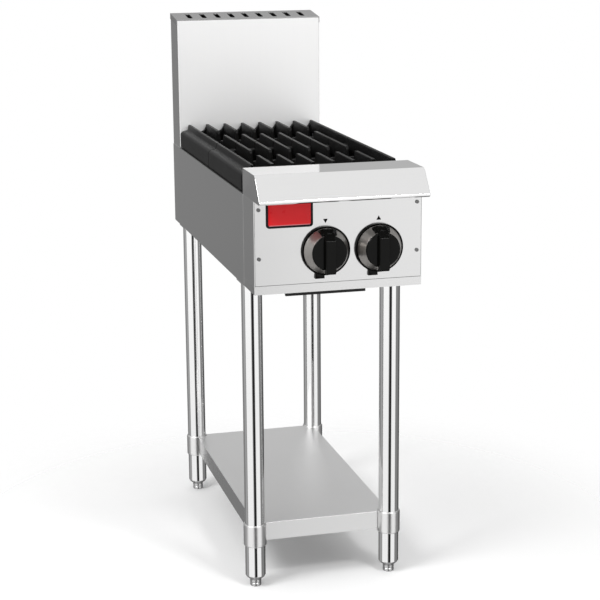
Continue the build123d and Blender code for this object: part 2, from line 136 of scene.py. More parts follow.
class Recipe:
    """A node tree that is filled by naming each node's type, settings and sockets."""

    def __init__(self, tree):
        self.tree = tree
        tree.nodes.clear()

    def add(self, kind, settings=None, sockets=None):
        """A node with its settings made first and then its sockets' values or links."""
        node = self.tree.nodes.new(kind)
        for name, value in (settings or {}).items():
            setattr(node, name, value)
        for name, value in (sockets or {}).items():
            if isinstance(value, Wire):
                self.tree.links.new(value.socket, node.inputs[name])
            else:
                node.inputs[name].default_value = value
        return node

    def wire(self, kind, settings=None, sockets=None, output=0):
        """The same, but it gives one output of the node as a wire."""
        return Wire(self, self.add(kind, settings, sockets).outputs[output])

    def stretched(self, scale):
        """Object coordinates multiplied by a scale for each axis, in repeats per metre."""
        place = self.wire("ShaderNodeTexCoord", output="Object")
        return self.wire("ShaderNodeMapping", None, {"Vector": place, "Scale": scale})

    def noise(self, lumps, detail=3.0, roughness=0.55, distortion=0.0):
        """Cloudy pattern from 0 to 1. lumps is how many it has in a metre, as one number
        or as three, one for each axis."""
        scale = np.broadcast_to(np.array(lumps, float), 3).tolist()
        return self.wire("ShaderNodeTexNoise", None, {
            "Vector": self.stretched(scale), "Scale": 1.0, "Detail": detail,
            "Roughness": roughness, "Distortion": distortion})

    def ease(self, value, low, high, start=0.0, end=1.0):
        """Smooth step from start to end while value goes from low to high."""
        return self.wire("ShaderNodeMapRange", {"interpolation_type": "SMOOTHSTEP"}, {
            "Value": value, "From Min": low, "From Max": high, "To Min": start, "To Max": end})

    def blend(self, amount, first, second):
        """Colour between two colours."""
        return self.wire("ShaderNodeMix", {"data_type": "RGBA"}, {
            "Factor": amount, 6: first, 7: second}, output=2)


def finish(name, constants, varying):
    """A named material: constants go on the shader's own sockets and varying(recipe)
    gives the wires that change over the surface, with bump as (height, distance)."""
    material = bpy.data.materials.new(name)
    material.use_nodes = True
    recipe = Recipe(material.node_tree)
    shader = recipe.add("ShaderNodeBsdfPrincipled", None, constants)
    wires = varying(recipe)
    height, distance = wires.pop("bump")
    wires["Normal"] = recipe.wire("ShaderNodeBump", None, {
        "Height": height, "Strength": 1.0, "Distance": distance})
    for socket, value in wires.items():
        recipe.tree.links.new(value.socket, shader.inputs[socket])
    recipe.add("ShaderNodeOutputMaterial", None, {"Surface": Wire(recipe, shader.outputs[0])})
    return material


def grey(value, warmth=0.0):
    """A grey; warmth is the share that its red gains and its blue loses."""
    return (value * (1 + warmth), value, value * (1 - warmth), 1.0)


print("shader helpers ready")

# %% [markdown]
# ## Brushed stainless sheet
# The panels are cut from sheet that was drawn past an abrasive belt, so fine scratches all
# run one way. A real anisotropic shader could show that, but a noise that is stretched some
# five hundred to one along the stroke gives the streaks their uneven brightness as well.
# The same noise moves colour, roughness and height; a coarser one adds broad streaks and a
# slow one adds handling marks.

# %% The stainless finishes
def brushed_steel(name, along, shade, rough, marks=0.04, metal=1.0):
    """Belt-polished sheet. along is the axis of the strokes, 0, 1 or 2. Tone is 0.30 grain
    + 0.40 streak + 0.30 smear, and marks is how much a smear dulls the sheet."""
    def stroked(recipe, lengthwise, crosswise, detail):
        """Noise with this many lumps in a metre along the strokes and across them."""
        lumps = [crosswise] * 3
        lumps[along] = lengthwise
        return recipe.noise(lumps, detail)

    def varying(recipe):
        grain = stroked(recipe, 5.0, 2600.0, 2.0)
        streak = stroked(recipe, 3.0, 420.0, 3.0)
        smear = recipe.noise(5.0, 4.0, 0.6, 0.6)
        tone = 0.30 * grain + 0.40 * streak + 0.30 * smear
        return {
            "Base Color": recipe.blend(tone, grey(shade - 0.025, 0.004), grey(shade + 0.02, 0.0)),
            "Roughness": rough - 0.04 + 0.05 * grain + marks * smear,
            "bump": (grain + 0.5 * streak, 0.000002),
        }
    return finish(name, {"Metallic": metal}, varying)


sheet_across = brushed_steel("stainless_brushed_across", 0, 0.72, 0.20)
# The front-to-back copy is darker than the rest: painted shade on faces that look sideways.
sheet_deep_painted_shade = brushed_steel("stainless_brushed_front_to_back_painted_shade", 1, 0.62, 0.17)
sheet_upright = brushed_steel("stainless_brushed_upright", 2, 0.87, 0.44, 0.03, 0.35)
ledge_steel = brushed_steel("stainless_ledge_polished", 0, 0.79, 0.07, 0.01)
shelf_steel = brushed_steel("stainless_shelf", 0, 0.84, 0.34, 0.05)
# The flue cap's copy is darker still: painted shade on the cap.
flue_steel_painted_shade = brushed_steel("stainless_flue_cap_painted_shade", 0, 0.50, 0.24, 0.05)
print("stainless finishes ready")

# %% [markdown]
# ## Polished tube, cast collars and turned steel
# The legs are bright polished tube: almost a mirror, with fine rings left by the polishing
# wheel. The collars are cast and barrel polished, so they are softer. Feet, inserts, screws
# and spindles are plain turned steel, and the gas pipes are galvanised. One function covers
# them all with its shade, its roughness and its pits.

# %% The leg, collar and foot finishes
def turned_steel(name, shade, rough, lumps, depth, tint=0.0):
    """Round steel work. Rings are a noise that changes almost only with height; lumps is
    the number of pits in a metre and depth their depth in metres."""
    def varying(recipe):
        rings = recipe.noise((1.0, 1.0, 900.0), 2.0)
        pits = recipe.noise(lumps, 3.0, 0.6)
        smear = recipe.noise(9.0, 3.0)
        return {
            "Base Color": recipe.blend(0.5 * rings + 0.5 * smear, grey(shade - 0.05, tint),
                                       grey(shade + 0.04, tint)),
            "Roughness": rough - 0.03 + 0.04 * rings + 0.05 * smear,
            "bump": (0.4 * rings + pits, depth),
        }
    return finish(name, {"Metallic": 1.0}, varying)


leg_polish = turned_steel("leg_polished_tube", 0.86, 0.05, 160.0, 0.000002)
collar_polish = turned_steel("collar_satin_alloy", 0.80, 0.27, 500.0, 0.00003, 0.004)
foot_steel = turned_steel("foot_turned_steel", 0.56, 0.26, 900.0, 0.00001)
screw_steel = turned_steel("screw_plain_steel", 0.20, 0.24, 1200.0, 0.00001)
pipe_steel = turned_steel("pipe_galvanised", 0.50, 0.42, 260.0, 0.00004)
spindle_steel = turned_steel("spindle_turned_steel", 0.60, 0.25, 900.0, 0.00001)
print("tube, collar, foot, screw and pipe finishes ready")

# %% [markdown]
# ## Cast iron, enamel and painted shade
# Sand leaves a pebbled skin on the trivets, and the black enamel over it pools in the
# hollows and thins on the bumps. Two noises at one and four millimetres make the skin, and
# a slower one dulls it where heat has worked on it. A finer, duller version of the same
# finish is painted shade on the faces inside the flue.

# %% The cast and enamelled finishes
def cast_black(name, shade, rough, skin=0.00022, bare=0.0, sheen=0.32):
    """Black casting. Its skin is grain at 1 mm and 4 mm, skin metres deep; bare lets grey
    iron show through and sheen is how strongly it mirrors."""
    def varying(recipe):
        sand = recipe.noise(1100.0, 3.0, 0.65)
        lump = recipe.noise(260.0, 3.0, 0.6)
        heat = recipe.noise(14.0, 4.0, 0.6)
        worn = recipe.ease(0.55 * sand + 0.45 * lump, 0.50, 0.72)
        return {
            "Base Color": recipe.blend(worn * (0.35 + bare) + 0.3 * heat,
                                       grey(shade * 0.6), grey(shade * 2.6, 0.01)),
            "Roughness": rough - 0.10 + 0.16 * sand + 0.10 * heat,
            "bump": (0.45 * sand + lump, skin),
        }
    return finish(name, {"Metallic": 0.0, "Specular IOR Level": sheen}, varying)


trivet_iron = cast_black("trivet_black_cast_iron", 0.004, 0.40, sheen=0.13)
# The flue finish is near black: painted shade on faces inside the flue.
flue_painted_shade = cast_black("flue_inside_painted_shade", 0.020, 0.70, 0.00008)
burner_iron = cast_black("burner_bare_cast_iron", 0.055, 0.60, 0.0003, 0.25)
pan_enamel = cast_black("hob_pan_dark_enamel", 0.030, 0.34, 0.00003)
# The tray handle gets a flat black finish, as dark as the strip under the front.
tray_black = cast_black("tray_handle_black", 0.012, 0.48, 0.00003)
print("cast and enamel finishes ready")

# %% [markdown]
# ## Brass, copper and heat stains
# Caps, taps and jets are machined brass, and the small gas tubes are soft copper. Both
# darken unevenly, so a slow noise blends clean metal with a brown stain.

# %% The brass and copper finishes
def stained_metal(name, clean, stained, rough):
    """Machined yellow or red metal: a slow noise is the stain, fine rings the tool marks."""
    def varying(recipe):
        stain = recipe.ease(recipe.noise(32.0, 4.0, 0.6), 0.35, 0.7)
        tool = recipe.noise(1400.0, 2.0)
        return {
            "Base Color": recipe.blend(stain, (*clean, 1.0), (*stained, 1.0)),
            "Roughness": rough + 0.14 * stain + 0.06 * tool,
            "bump": (tool + 0.3 * stain, 0.00002),
        }
    return finish(name, {"Metallic": 1.0}, varying)


cap_brass = stained_metal("cap_heat_stained_brass", (0.56, 0.40, 0.18), (0.20, 0.13, 0.08), 0.34)
valve_brass = stained_metal("valve_machined_brass", (0.72, 0.55, 0.26), (0.50, 0.36, 0.16), 0.24)
tube_copper = stained_metal("tube_soft_copper", (0.72, 0.38, 0.25), (0.42, 0.20, 0.12), 0.24)
pilot_steel = stained_metal("pilot_heated_steel", (0.52, 0.50, 0.48), (0.26, 0.22, 0.22), 0.32)
print("brass and copper finishes ready")

# %% [markdown]
# ## Knob, print and badge finishes
# The knobs are glossy black moulding with a metal skirt whose brush marks run round it, so
# its grain is read in rings about the knob's axis. Moulding and enamel are smooth but never
# perfect: a weak swell in the gloss and a few fine scuffs keep them from looking like glass.

# %% The knob, print and badge finishes
def swell_and_scuff(recipe):
    """A slow swell in the surface, and sparse fine scuffs drawn out from front to back."""
    swell = recipe.noise(70.0, 2.0)
    return swell, recipe.ease(recipe.noise((900.0, 300.0, 900.0), 3.0, 0.7), 0.60, 0.78)


def gloss_moulding(name, low, high, rough, gloss):
    """Glossy black from a low to a high shade: 0.6 swell + 0.4 scuff between them."""
    def varying(recipe):
        swell, scuff = swell_and_scuff(recipe)
        return {
            "Base Color": recipe.blend(0.6 * swell + 0.4 * scuff, (*low, 1.0), (*high, 1.0)),
            "Roughness": rough + 0.03 * swell + 0.10 * scuff,
            "bump": (swell + 0.15 * scuff, 0.00003),
        }
    return finish(name, {"Metallic": 0.0, "Specular IOR Level": gloss}, varying)


def spun_skirt(name, centre_x, centre_z):
    """Metal brushed in rings round the knob's axis: the noise changes with the distance
    from the axis and hardly with the angle."""
    def varying(recipe):
        place = recipe.wire("ShaderNodeTexCoord", output="Object")
        apart = recipe.wire("ShaderNodeVectorMath", {"operation": "SUBTRACT"},
                            {0: place, 1: (centre_x, face_y, centre_z)})
        flat = recipe.wire("ShaderNodeVectorMath", {"operation": "MULTIPLY"},
                           {0: apart, 1: (1.0, 0.0, 1.0)})
        reach = recipe.wire("ShaderNodeVectorMath", {"operation": "LENGTH"}, {0: flat}, "Value")
        rings = recipe.wire("ShaderNodeTexNoise", {"noise_dimensions": "1D"},
                            {"W": reach * 5200.0, "Scale": 1.0, "Detail": 3.0})
        smear = recipe.noise(40.0, 3.0)
        return {
            "Base Color": recipe.blend(0.5 * rings + 0.5 * smear, grey(0.22, 0.06),
                                       grey(0.44, 0.04)),
            "Roughness": 0.24 + 0.12 * rings + 0.05 * smear,
            "bump": (rings, 0.00002),
        }
    return finish(name, {"Metallic": 1.0}, varying)


knob_black = gloss_moulding("knob_gloss_black", (0.003, 0.003, 0.003),
                            (0.006, 0.006, 0.005), 0.10, 0.10)
mark_black = gloss_moulding("panel_black_print", (0.004, 0.004, 0.004),
                            (0.010, 0.010, 0.010), 0.38, 0.08)
badge_black = gloss_moulding("badge_black_rim", (0.005, 0.004, 0.005),
                             (0.010, 0.008, 0.010), 0.16, 0.15)


def tablet_red(recipe):
    """Red enamel with a painted highlight: a pale line 0.7 to 2 mm above the tablet's low edge.
    """
    swell, scuff = swell_and_scuff(recipe)
    place = recipe.add("ShaderNodeSeparateXYZ", None,
                       {0: recipe.wire("ShaderNodeTexCoord", output="Object")})
    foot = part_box("badge_plate")[0].z
    # Painted highlight: a pale band where the low bevel catches the light.
    painted_highlight = recipe.ease(Wire(recipe, place.outputs["Z"]), foot + 0.0007, foot + 0.0020, 1.0, 0.0)
    red = recipe.blend(0.6 * swell + 0.4 * scuff, (0.76, 0.014, 0.020, 1),
                       (0.84, 0.022, 0.028, 1))
    pale = (0.90, 0.42, 0.46, 1)
    return {"Base Color": recipe.blend(0.75 * painted_highlight, red, pale),
            "Roughness": 0.26 + 0.05 * swell + 0.10 * scuff,
            "bump": (swell + 0.15 * scuff, 0.00003)}


badge_red = finish("badge_red_enamel", {"Metallic": 0.0, "Specular IOR Level": 0.25}, tablet_red)
print("knob, print and badge finishes ready")

# %% [markdown]
# ## Making surfaces from formulas
# Sheet, castings and turned parts all come down to one idea: an outline carried along a
# line or spun about an axis gives a grid of points. A small class collects such grids,
# joins neighbouring points with faces and closes the ends. Numpy works out whole grids at
# once, so no loop runs over single points.

# %% A collector of skins
class Skin:
    """Grids of points gathered into one mesh."""

    def __init__(self):
        self.points, self.faces, self.count = [], [], 0

    def add(self, grid, round_i=False):
        """grid[i, j] is a point, i along the piece and j round it. With round_i the last
        ring joins the first; without it one face closes each end."""
        rows, columns = grid.shape[:2]
        i = np.arange(rows if round_i else rows - 1)[:, None]
        j = np.arange(columns)[None, :]
        ni, nj = (i + 1) % rows, (j + 1) % columns
        corners = [i * columns + j, i * columns + nj, ni * columns + nj, ni * columns + j]
        quads = np.stack(np.broadcast_arrays(*corners), -1).reshape(-1, 4) + self.count
        self.faces += quads.tolist()
        if not round_i:
            ring = np.arange(columns)
            self.faces += [(ring + self.count).tolist(),
                           (ring[::-1] + self.count + (rows - 1) * columns).tolist()]
        self.points.append(grid.reshape(-1, 3))
        self.count += rows * columns
        return self

    def make(self, name, body, slot, material, replaced, sharp=32.0):
        """The finished object: doubles merged, faces turned outward, edges steeper than
        sharp degrees kept crisp, riding on its body."""
        mesh = bpy.data.meshes.new(name)
        mesh.from_pydata(np.concatenate(self.points).tolist(), [], self.faces)
        settle(mesh, sharp)
        return register(name, mesh, body, material, replaced)


def settle(mesh, sharp):
    """Merges doubles, turns faces outward and marks crisp edges."""
    work = bmesh.new()
    work.from_mesh(mesh)
    bmesh.ops.remove_doubles(work, verts=work.verts, dist=1e-6)
    bmesh.ops.dissolve_degenerate(work, edges=work.edges, dist=1e-7)
    bmesh.ops.recalc_face_normals(work, faces=work.faces)
    for face in work.faces:
        face.smooth = True
    for edge in work.edges:
        edge.smooth = len(edge.link_faces) == 2 and edge.calc_face_angle(0.0) < radians(sharp)
    work.to_mesh(mesh)
    work.free()


def register(name, mesh, body, material, replaced):
    """Puts the mesh in the scene, riding on its body in place of the replaced nodes."""
    piece = bpy.data.objects.new(name, mesh)
    bpy.context.scene.collection.objects.link(piece)
    mesh.materials.append(material)
    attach(piece, body)
    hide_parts(*replaced)
    print(f"{name}: {len(mesh.polygons)} faces on {body}")
    return piece


def second_finish(piece, material, chosen):
    """Gives the faces picked by chosen(normals, centres) one more finish; both are arrays
    with a row for each face, the centres in metres."""
    mesh = piece.data
    normals, centres = (np.zeros(len(mesh.polygons) * 3) for _ in range(2))
    mesh.polygons.foreach_get("normal", normals)
    mesh.polygons.foreach_get("center", centres)
    picked = chosen(normals.reshape(-1, 3), centres.reshape(-1, 3))
    number = np.zeros(len(mesh.polygons), np.int32)
    mesh.polygons.foreach_get("material_index", number)
    number[picked] = len(mesh.materials)
    mesh.materials.append(material)
    mesh.polygons.foreach_set("material_index", number)


def looks_aside(beyond):
    """Picks the faces that look sideways further out than beyond millimetres. Sheet is brushed
    front to back there, and the darker copy that these faces get paints shade on the sides."""
    return lambda n, c: (np.abs(n[:, 0]) > 0.7) & (np.abs(c[:, 0]) > beyond * mm)


print("skins ready")

# %% [markdown]
# ## Outlines
# Outlines are drawn as corner points, and every corner gets a small arc, because folded
# sheet and castings have no sharp corners. An extra point just past each arc keeps the
# flat stretches shading flat.

# %% Rounding an outline
def rounded(corners, radius, steps=4, keep=0.4):
    """Closed outline with each corner replaced by an arc of its radius in millimetres, cut
    back where the sides are too short. Points past each arc sit keep millimetres away."""
    p = np.array(corners, float)
    r = np.broadcast_to(np.array(radius, float), (len(p),))[:, None]
    before, after = np.roll(p, 1, 0) - p, np.roll(p, -1, 0) - p
    la, lb = (np.linalg.norm(v, axis=1, keepdims=True) for v in (before, after))
    u, v = before / la, after / lb
    half = np.arccos(np.clip((u * v).sum(1, keepdims=True), -0.9999, 0.9999)) / 2
    reach = np.minimum(r / np.tan(half), 0.44 * np.minimum(la, lb))
    r = reach * np.tan(half)
    centre = p + (u + v) / np.linalg.norm(u + v, axis=1, keepdims=True) * r / np.sin(half)
    first, last = p + u * reach - centre, p + v * reach - centre
    turn = (pi - 2 * half)[:, None]
    t = np.linspace(0, 1, steps + 1)[None, :, None]
    arc = (np.sin((1 - t) * turn) * first[:, None]
           + np.sin(t * turn) * last[:, None]) / np.sin(turn)
    arc = arc + centre[:, None]
    spare = np.minimum(keep, 0.04 * np.minimum(la, lb))
    ahead = (p + u * (reach + spare))[:, None]
    behind = (p + v * (reach + spare))[:, None]
    return np.concatenate([ahead, arc, behind], 1).reshape(-1, 2)


def drawn_in(outline, amount):
    """The outline moved inward along its own normals; amount may be an array of steps."""
    ahead, behind = np.roll(outline, -1, 0), np.roll(outline, 1, 0)
    along = ahead - behind
    along /= np.maximum(np.linalg.norm(along, axis=1, keepdims=True), 1e-9)
    area = 0.5 * np.sum(outline[:, 0] * ahead[:, 1] - ahead[:, 0] * outline[:, 1])
    inward = np.column_stack([-along[:, 1], along[:, 0]]) * (1 if area > 0 else -1)
    return outline[None] + np.atleast_1d(amount)[:, None, None] * inward[None]


print("a rounded unit square has", len(rounded([(0, 0), (1, 0), (1, 1), (0, 1)], 0.1)), "points")

# %% [markdown]
# ## Carrying an outline
# Most pieces are one section moved in a straight line. The ends are drawn in along a quarter
# circle, which eases their edges as a file would. A Bevel modifier could do that too, but
# here each piece keeps only the faces that it needs.

# %% Carrying an outline
def carried(outline, start, end, ease=0.5, axis="x"):
    """Outline carried straight from start to end, both in millimetres. The last ease
    millimetres at each end follow a quarter circle. axis x takes (depth, height) outlines,
    y takes (x, height) and z takes (x, depth)."""
    t = np.linspace(0, pi / 2, 4)
    along, inset = ease * (1 - np.cos(t)), ease * (1 - np.sin(t))
    keep = min(0.5, 0.1 * (end - start))
    stations = np.concatenate([start + along, [start + ease + keep],
                               [end - ease - keep], end - along[::-1]])
    amounts = np.concatenate([inset, [0, 0], inset[::-1]])
    rings = drawn_in(outline, amounts)
    s = np.broadcast_to(stations[:, None], rings.shape[:2])
    order = {"x": (s, rings[..., 0], rings[..., 1]), "y": (rings[..., 0], s, rings[..., 1]),
             "z": (rings[..., 0], rings[..., 1], s)}[axis]
    return placed(*order)


def placed(x, depth, height):
    """Metres in the shared frame from millimetres across, behind the panel's face and
    above the body's underside."""
    return np.stack([x * mm, face_y + depth * mm, under_z + height * mm], -1)


def block(x_range, depth_range, height_range, radius=0.5):
    """A small block with rounded edges, as an outline carried across."""
    (d0, d1), (h0, h1) = depth_range, height_range
    outline = rounded([(d0, h0), (d1, h0), (d1, h1), (d0, h1)], radius, 3)
    return carried(outline, *x_range, ease=radius)


print("outlines can be carried along x, y and z")

# %% [markdown]
# ## Folded sheet: control box and sides
# Each panel is cut from one sheet. The control box is bent on a press brake into a thin U in
# plan with soft outer corners, and the sides are flat. Carrying such a section gives both
# faces of the sheet and its cut edges at once. A Solidify modifier could add the thickness,
# but the section states it.

# %% The control box and the side panels
sheet, fold = 1.5, 1.8
inner = half_width - sheet
box_depth, box_top, tray_slot_top = 79.4, 165, 15.8
body_depth, side_top = 745, 165.5
front_box = rounded([(-half_width, box_depth), (-half_width, 0), (half_width, 0),
                     (half_width, box_depth), (inner, box_depth), (inner, sheet),
                     (-inner, sheet), (-inner, box_depth)],
                    [0.3, fold, fold, 0.3, 0.3, 0.6, 0.6, 0.3])
control = Skin().add(carried(front_box, tray_slot_top, box_top, 0.25, "z"))
for side in (-1, 1):
    cheek = sorted((side * half_width, side * inner))
    control.add(block(cheek, (sheet + 0.1, box_depth), (0, tray_slot_top - 0.1), 0.25))
# The control box's side cheeks take the darker front-to-back copy, painted shade on its sides.
second_finish(control.make("control_box", "unit", "stainless", sheet_across,
                           ["control_panel"]), sheet_deep_painted_shade, looks_aside(152))
# The side sheets take the darker front-to-back copy, painted shade on the sides.
for side, word in ((-1, "left"), (1, "right")):
    x0, x1 = sorted((side * half_width, side * inner))
    outline = rounded([(x0, 0), (x1, 0), (x1, side_top), (x0, side_top)], 0.35, 3)
    Skin().add(carried(outline, 80, body_depth, 0.35, "y")).make(
        f"{word}_side_sheet", "unit", "stainless", sheet_deep_painted_shade, [f"{word}_side_panel"])

# %% [markdown]
# ## The splashback and the back
# The splashback is a thin U in plan with its open side to the rear, and its top edge drops
# towards the front, so each point is lowered in proportion to how high and how far forward
# it sits. A flat sheet closes the back. The faces that look into the flue get painted shade.

# %% The splashback
flue_near, flue_far = ((v.y - face_y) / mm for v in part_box("splashback"))
splash_top = (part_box("splashback")[1].z - under_z) / mm
cap_drop, flue_half, flue_sheet = 10.0, 151.5, 1.2
flue_inner = flue_half - flue_sheet
wings = rounded([(-flue_half, flue_far), (-flue_half, flue_near), (flue_half, flue_near),
                 (flue_half, flue_far), (flue_inner, flue_far),
                 (flue_inner, flue_near + flue_sheet), (-flue_inner, flue_near + flue_sheet),
                 (-flue_inner, flue_far)], [0.3, 1.3, 1.3, 0.3, 0.3, 0.3, 0.3, 0.3])
wall = carried(wings, side_top, splash_top, 0.2, "z")
climb = (wall[..., 2] - wall[..., 2].min()) / np.ptp(wall[..., 2])
rearward = (wall[..., 1] - wall[..., 1].min()) / np.ptp(wall[..., 1])
wall[..., 2] -= climb * cap_drop * mm * (1 - rearward)
splash = Skin().add(wall).make("splashback_sheet", "unit", "stainless", sheet_upright,
                               ["splashback"])
# The wings' sideways faces take the darker copy too, painted shade.
second_finish(splash, sheet_deep_painted_shade, looks_aside(151))
# Faces that look into the flue, or inward from the wings, take painted shade.
second_finish(splash, flue_painted_shade, lambda n, c: (n[:, 1] > 0.7) & (c[:, 1] < face_y + 0.7)
              | (n[:, 0] * c[:, 0] < -0.1))

# %% The back sheet
low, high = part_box("back_panel")
back_top = (high.z - under_z) / mm
back = rounded([(low.x / mm, sheet), (high.x / mm, sheet), (high.x / mm, back_top),
                (low.x / mm, back_top)], 0.3, 3)
# The back sheet's inner face takes painted shade from the flue finish.
second_finish(Skin().add(carried(back, body_depth - sheet, body_depth, 0.25, "y")).make(
    "back_sheet", "unit", "stainless", sheet_upright, ["back_panel"]),
    flue_painted_shade, lambda n, c: n[:, 1] < -0.7)

# %% [markdown]
# ## The front ledge
# The ledge is a closed fold: a flat top, a rolled nose, a sloping face and a return below
# it, with welded ends. Its side section is drawn once and carried across the unit; the
# nose gets the largest bend radius, as on the press brake.

# %% The front ledge
ledge_section = rounded([(80, 165), (80, 212), (-8, 212), (-15.6, 207.2), (-44.0, 171.0),
                         (-45.0, 167.6), (-41, 165)], [0.4, 1.0, 3, 3, 1.4, 1.6, 1.2], 6)
# The ledge's ends take the darker copy, painted shade on its sides.
second_finish(Skin().add(carried(ledge_section, -half_width, half_width, 0.6)).make(
    "ledge_fold", "unit", "stainless", ledge_steel, ["front_ledge"]), sheet_deep_painted_shade,
    looks_aside(152))

# %% [markdown]
# ## The trivets
# Each trivet is one casting: two side rails, two end walls with a wavy top, two ribs and
# twelve tapered fingers whose noses are rounded where they reach over the burner. A finger
# is a tapered section carried along its length, and the top is lowered near the nose by a
# quarter circle, all in one array. The walls use the same idea with a wave as their top.

# %% Fingers and walls of a trivet
trivet_length, trivet_top, finger_pitch = 285.0, 214, 37.5
wall_foot, wall_top, nose_gap, nose_round = 176, 200, 27.0, 7
finger_xs = (np.arange(8) - 3.5) * finger_pitch
finger_outline = rounded([(-3.0, trivet_top), (3.0, trivet_top), (5.5, 187), (-5.5, 187)],
                         [1.1, 1.1, 0.6, 0.6], 4, 0.2)


def finger(x, root, nose):
    """Tapered section from root to nose. Near the nose its height is capped by the
    trivet's top - round (1 - cos a), where a is the turn of a quarter circle, and the last
    millimetres draw in."""
    toward = np.sign(nose - root)
    a = np.linspace(0, pi / 2, 8)
    stations = np.concatenate([[root, root + toward * 3],
                               nose - toward * nose_round * (1 - np.sin(a))])
    top = np.concatenate([[trivet_top] * 2, trivet_top - nose_round * (1 - np.cos(a))])
    squeeze = np.concatenate([[0, 0], 2.2 * (1 - np.cos(a)) ** 2])
    rings = drawn_in(finger_outline, squeeze)
    heights = np.minimum(rings[..., 1], top[:, None])
    s = np.broadcast_to(stations[:, None], heights.shape)
    return placed(x + rings[..., 0], s, heights)


def wavy_wall(near, far, rise):
    """End wall, a rounded bar from its foot to a wavy top. With x counted from the first
    finger, the top is wall_top + rise (0.5 + 0.5 cos(2 pi x / pitch)) ** 2.5; heights above
    the lowest 4 mm grow towards it over 16 mm."""
    x = np.linspace(finger_xs[0], finger_xs[-1], 16 * 7 + 1)
    wave = np.cos(2 * pi * (x - finger_xs[0]) / finger_pitch)
    top = wall_top + rise * np.clip(0.5 + 0.5 * wave, 0, 1) ** 2.5
    section = rounded([(near, wall_foot), (far, wall_foot), (far, wall_top),
                       (near, wall_top)], [1, 1, 3, 3], 4)
    grow = np.clip((section[None, :, 1] - wall_foot - 4) / 16, 0, 1)
    heights = section[None, :, 1] + grow * (top[:, None] - wall_top)
    depth = np.broadcast_to(section[None, :, 0], heights.shape)
    return placed(np.broadcast_to(x[:, None], heights.shape), depth, heights)


print("fingers stand at", finger_xs[1:-1].tolist())

# %% [markdown]
# ## Putting a trivet together
# The two trivets are one casting used twice. Its tall wall is the near one on the front
# trivet and the far one on the rear trivet, so the waves of the near and far wall are the
# only thing that is given for each. Four small pads carry the rails on the side panels.

# %% The two trivets
def trivet(name, start, rises):
    """One casting from start rearwards; rises are the wave heights of its near and far
    wall. The rail's outline is mirrored for the other side."""
    end, middle = start + trivet_length, start + trivet_length / 2
    casting = Skin()
    rail = [(151, 169), (151, 200.5), (136.4, 202.8), (134.0, trivet_top),
            (128.2, trivet_top), (126, 190), (143, 184), (143, 169)]
    for side in (-1, 1):
        section = rounded([(side * x, h) for x, h in rail], [1, 8, 3, 1.8, 1.8, 2, 4, 1], 6)
        casting.add(carried(section, start, end, 0.8, "y"))
        for depth in (start + 12, end - 32):
            casting.add(block(sorted((side * 143.6, side * 150.4)), (depth, depth + 20),
                              (167.05, 170), 0.8))
    casting.add(wavy_wall(start + 0.2, start + 8, rises[0]))
    casting.add(wavy_wall(end - 8, end - 0.2, rises[1]))
    for offset in (-36, 36):
        rib = rounded([(middle + offset - 4, 184), (middle + offset + 4, 184),
                       (middle + offset + 3.2, 193), (middle + offset - 3.2, 193)], 2.0)
        casting.add(carried(rib, -140, 140, 1.0))
    for x in finger_xs[1:-1]:
        casting.add(finger(x, start + 0.4, middle - nose_gap))
        casting.add(finger(x, end - 0.4, middle + nose_gap))
    casting.make(f"{name}_trivet_casting", f"{name}_trivet_body", "trivet_iron", trivet_iron,
                 [f"{name}_trivet"], 50)


for name, rises in (("front", (12.0, 1.6)), ("rear", (1.6, 12.0))):
    trivet(name, (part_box(f"{name}_trivet")[0].y - face_y) / mm, rises)

# %% [markdown]
# ## The knobs
# A knob is turned work and moulding together: a bezel ring with an index block, a spun
# metal skirt and a black cap with a tall bar. Ring, skirt and cap are outlines spun about
# the knob's axis; the bar is a side outline carried across, with eased edges that catch a
# thin line of light. A black wing lies on the skirt on both sides of the bar's upper end: its
# section is swept through the 48 degrees around the top.

# %% Spinning an outline
def spun(outline, x, height, turns):
    """Outline of (radius, depth) points turned about a front-to-back axis at x, height:
    point = centre + radius (sin a, cos a)."""
    a = np.linspace(0, 2 * pi, turns, endpoint=False)[:, None]
    r, d = outline[None, :, 0], outline[None, :, 1]
    return placed(x + r * np.sin(a), d + 0 * a, height + r * np.cos(a))


def upright(outline, x, depth, turns):
    """Outline of (radius, height) points turned about an upright axis at x, depth: point =
    centre + radius (sin a, cos a)."""
    a = np.linspace(0, 2 * pi, turns, endpoint=False)[:, None]
    r, h = outline[None, :, 0], outline[None, :, 1]
    return placed(x + r * np.sin(a), depth + r * np.cos(a), h + 0 * a)


def ring(skin, grid):
    """Adds a grid that closes on itself both ways, as a spun outline does."""
    return skin.add(grid, round_i=True)


print("outlines can be spun about level and upright axes")

# %% [markdown]
# The bezel stays on the panel, while skirt and grip turn together. So each knob is three
# pieces, and the skirt's finish is told where its own axis is.

# %% Bezel and skirt
knob_height, bezel_radius, bezel_depth = 72.5, 43.6, 5.5


def bezel(who, x):
    """Spun ring with a block under it; the block's upper side follows the ring's curve."""
    outline = rounded([(9.2, 0), (bezel_radius, 0), (bezel_radius, -bezel_depth),
                       (42.3, -bezel_depth), (42.2, -1.1), (9.2, -1.1)],
                      [0.2, 0.4, 0.6, 0.4, 0.3, 0.2], 5)
    piece = ring(Skin(), spun(outline, x, knob_height, 96))
    a, curve, foot = np.radians(np.linspace(184.5, 206.5, 7)), 42.6, knob_height - 48.9
    index = np.concatenate([[(x - 19.9, foot), (x - 3.1, foot)],
                            np.column_stack([x + curve * np.sin(a),
                                             knob_height + curve * np.cos(a)])])
    piece.add(carried(index, -bezel_depth, -0.05, 0.9, "y"))
    piece.make(f"{who}_bezel", "unit", "knob_plastic", knob_black, [f"{who}_knob_bezel"])


